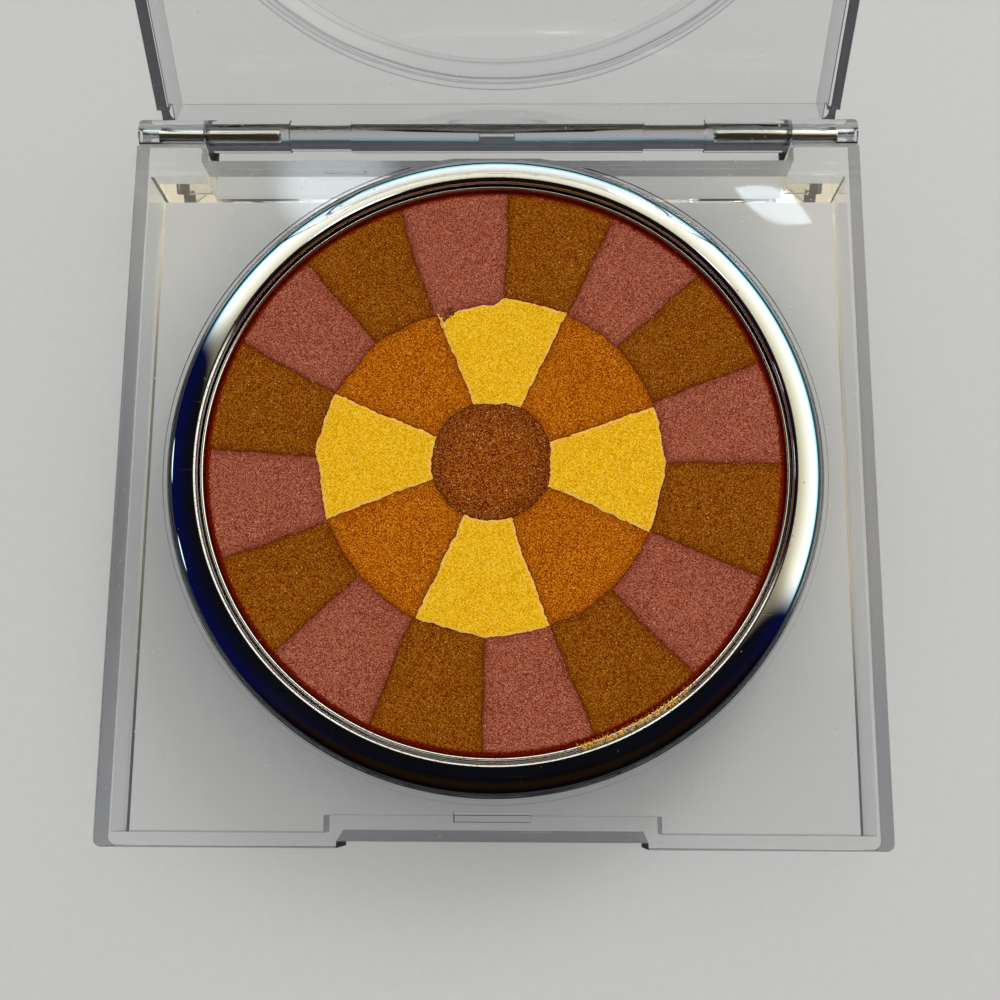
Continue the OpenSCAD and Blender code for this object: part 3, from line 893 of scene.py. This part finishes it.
# Lights that only polished surfaces see. Round spots: a direction, the cosines of the angles where
# they are full and where they have faded, and a colour. One pointed patch: its direction, the way
# that it runs, half its length, half its width and its colour.
SKY_SPOTS = (
    ((-0.1300, 0.4170, 0.8996), 0.9999, 0.9988, (4.6, 5.2, 5.4, 1)),
    ((-0.973, 0.226, 0.06), 0.9983, 0.9973, (2.0, 2.6, 2.6, 1)),
    ((-0.987, -0.066, 0.141), 0.9990, 0.9978, (2.2, 2.8, 2.8, 1)))
SKY_PATCH = (0.1736, 0.3966, 0.9014), (0.8984, -0.4387, 0.0210), 0.0285, 0.0115
SKY_PATCH_COLOR = 5.5, 6.0, 6.1, 1


def studio_sky():
    """A soft even room; polished surfaces see its bright wall and its dark corner."""
    world = bpy.data.worlds.new("studio")
    bpy.context.scene.world = world
    world.use_nodes = True
    tree = world.node_tree
    direction = node(tree, "ShaderNodeTexCoord").outputs["Generated"]
    split = node(tree, "ShaderNodeSeparateXYZ")
    tree.links.new(direction, split.inputs[0])
    height = split.outputs[2]
    wall = color_ramp(tree, height, (
        (0.0, (0.0, 0.0, 0.0)), (0.09, (0.01, 0.02, 0.02)), (0.15, (0.5, 1.4, 1.5)),
        (0.3, (1.9, 2.0, 2.0)), (0.6, (1.9, 1.8, 1.55)), (0.8, (1.5, 1.4, 1.05)),
        (0.95, (1.0, 0.85, 0.55))))
    corner = color_ramp(tree, height, (
        (0.0, (0.003, 0.004, 0.035)), (0.3, (0.004, 0.005, 0.075)), (0.75, (0.005, 0.006, 0.022)),
        (0.95, (0.006, 0.006, 0.008))))
    front = color_ramp(tree, height, (
        (0.0, (0.002, 0.001, 0.001)), (0.3, (0.004, 0.002, 0.002)), (0.6, (0.02, 0.009, 0.004)),
        (0.8, (0.005, 0.004, 0.004))))
    corner = blend_colors(tree, sky_side(tree, direction, (0.1, -0.995, 0.0), 0.3, 0.62), corner, front)
    polished = blend_colors(tree, sky_side(tree, direction, BRIGHT_SIDE, 0.13, 0.27), corner, wall)
    overhead = sky_side(tree, direction, (-0.02, 0.237, 0.971), 0.9663, 0.9773)
    polished = blend_colors(tree, overhead, polished, (0.012, 0.011, 0.009, 1))
    for towards, inner, outer, color in SKY_SPOTS:
        polished = blend_colors(tree, sky_side(tree, direction, towards, outer, inner), polished, color)
    polished = blend_colors(tree, sky_patch(tree, direction, *SKY_PATCH), polished, SKY_PATCH_COLOR)
    even = sky_side(tree, direction, BRIGHT_SIDE, -1.0, 1.0)
    even = blend_colors(tree, even, (0.70, 0.71, 0.74, 1), (0.98, 0.97, 0.95, 1))
    light = node(tree, "ShaderNodeLightPath")
    bounced = plus(tree, light.outputs["Diffuse Depth"], light.outputs["Glossy Depth"])
    unbounced = math_node(tree, "LESS_THAN", bounced, 0.5)
    through = times(tree, unbounced, light.outputs["Is Transmission Ray"])
    seen = math_node(tree, "MAXIMUM", light.outputs["Is Camera Ray"], through)
    mirrored = times(tree, had_no(tree, light, "Diffuse Depth"), light.outputs["Is Glossy Ray"])
    room = blend_colors(tree, mirrored, even, polished)
    background = tree.nodes["Background"]
    tree.links.new(blend_colors(tree, seen, room, srgb(206, 206, 204)), background.inputs["Color"])
    background.inputs["Strength"].default_value = 1.0


def key_lamp():
    """One broad soft lamp, above and behind, aimed at the base."""
    lamp = bpy.data.lights.new("key_lamp", "AREA")
    lamp.shape = "DISK"
    lamp.size = 0.4
    lamp.energy = 2.6
    made = bpy.data.objects.new("key_lamp", lamp)
    made.location = (0.40, 0.72, 0.56)
    made.rotation_euler = (-made.location).to_track_quat("-Z", "Y").to_euler()
    made.visible_camera = False
    made.visible_glossy = False
    bpy.context.scene.collection.objects.link(made)


def studio_camera():
    """Looks down steeply from the front, turned a little to the left."""
    yaw, pitch, roll = (math.radians(a) for a in (-4.19, 78.07, -3.94))
    ahead = Vector((math.sin(yaw) * math.cos(pitch), math.cos(yaw) * math.cos(pitch), -math.sin(pitch)))
    level = Vector((math.cos(yaw), -math.sin(yaw), 0))
    upward = level.cross(ahead)
    right = level * math.cos(roll) + upward * math.sin(roll)
    top = upward * math.cos(roll) - level * math.sin(roll)
    lens = bpy.data.cameras.new("camera")
    lens.sensor_fit = "HORIZONTAL"
    lens.sensor_width = 36.0
    lens.lens = 50.4
    lens.clip_start = 0.005
    made = bpy.data.objects.new("camera", lens)
    turn = Matrix((right, top, -ahead)).transposed().to_4x4()
    made.matrix_world = Matrix.Translation((0.0027, -0.03315, 0.1464)) @ turn
    bpy.context.scene.collection.objects.link(made)
    bpy.context.scene.camera = made


studio_floor()
studio_sky()
key_lamp()
studio_camera()
bpy.context.scene.view_settings.view_transform = "Standard"
